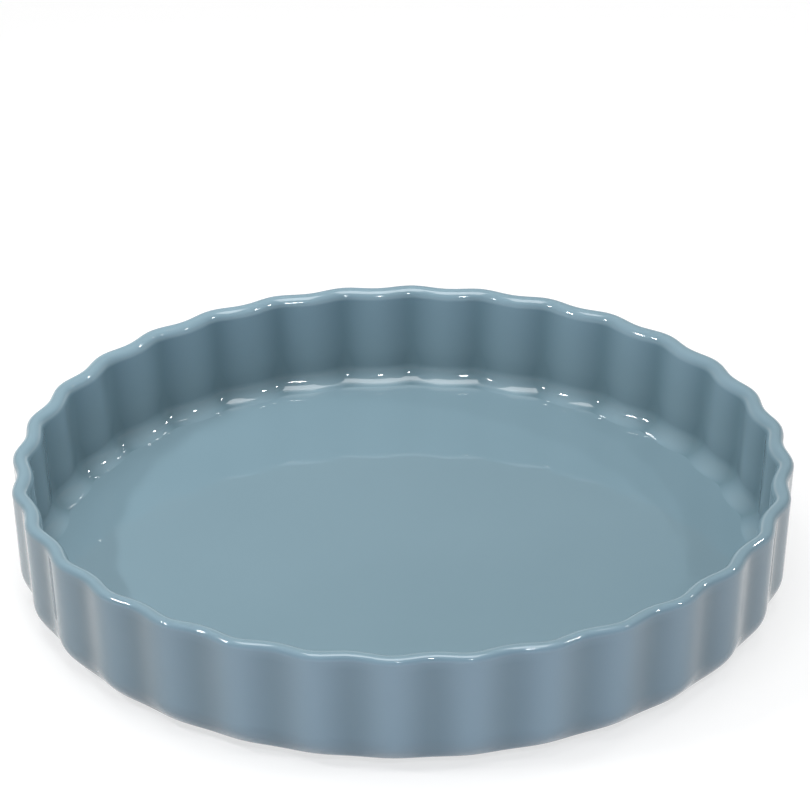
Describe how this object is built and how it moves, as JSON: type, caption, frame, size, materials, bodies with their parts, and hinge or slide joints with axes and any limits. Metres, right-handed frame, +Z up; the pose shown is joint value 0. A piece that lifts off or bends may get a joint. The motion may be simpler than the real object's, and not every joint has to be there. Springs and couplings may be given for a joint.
{
  "type": "fluted quiche dish",
  "caption": "Round shallow fluted baking dish in glazed stoneware, with a rounded wavy rim, a flat floor and a foot ring.",
  "frame": {"origin": "middle of the foot ring's underside, where the dish meets the table", "axes": "+Z up along the dish's axis, out of its mouth; +X through the crest of one flute"},
  "size_m": [0.2798, 0.2798, 0.0456],
  "materials": {
    "bare_clay": "matte",
    "blue_grey_glaze": "gloss"
  },
  "bodies": {
    "root": {"stoneware_body": "bare_clay", "glaze_coat": "blue_grey_glaze"}
  },
  "joints": []
}
